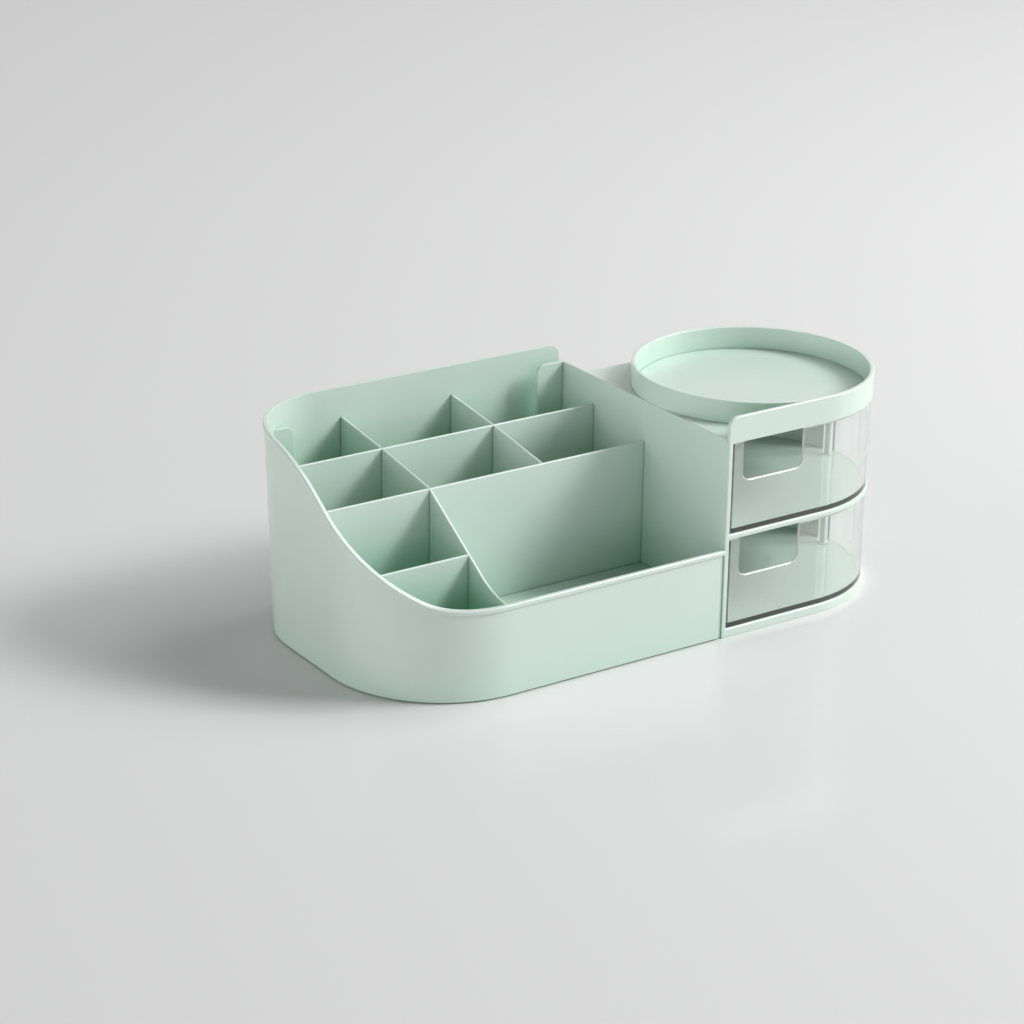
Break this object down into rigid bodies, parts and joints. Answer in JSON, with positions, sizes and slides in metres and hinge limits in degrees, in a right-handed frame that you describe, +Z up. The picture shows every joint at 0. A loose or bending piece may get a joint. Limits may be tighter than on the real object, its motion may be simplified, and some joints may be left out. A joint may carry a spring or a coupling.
{
  "type": "make-up organizer with swing-out drawers",
  "caption": "Open divided make-up tray with a swept rim, joined to a round-ended housing whose clear drawers swing out about an upright pin under a rimmed round tray.",
  "frame": {"origin": "middle of the bottom of the whole organizer's bounding box, on the surface it stands on", "axes": "+X along the front from the open tray to the drawers, +Y from the front to the back, +Z up"},
  "size_m": [0.3003, 0.1492, 0.111],
  "materials": {
    "mint_plastic": "satin pale mint green moulded plastic",
    "clear_plastic": "polished clear plastic"
  },
  "bodies": {
    "housing": {"tray_shell": "mint_plastic", "rear_divider": "mint_plastic", "middle_divider": "mint_plastic", "front_divider": "mint_plastic", "left_partition": "mint_plastic", "right_partition": "mint_plastic", "side_panel": "mint_plastic", "base_plate": "mint_plastic", "middle_shelf": "mint_plastic", "rear_wall": "mint_plastic", "top_tray": "mint_plastic", "pivot_pin": "mint_plastic"},
    "upper_drawer": {"upper_drawer": "clear_plastic"},
    "lower_drawer": {"lower_drawer": "clear_plastic"}
  },
  "joints": [
    {"name": "upper_drawer_swing", "type": "hinge", "parent": "housing", "child": "upper_drawer", "pos_m": [0.1427, -0.015, 0.075], "axis": [0, 0, 1], "range_deg": [0, 90]},
    {"name": "lower_drawer_swing", "type": "hinge", "parent": "housing", "child": "lower_drawer", "pos_m": [0.1427, -0.015, 0.027], "axis": [0, 0, 1], "range_deg": [0, 90]}
  ]
}
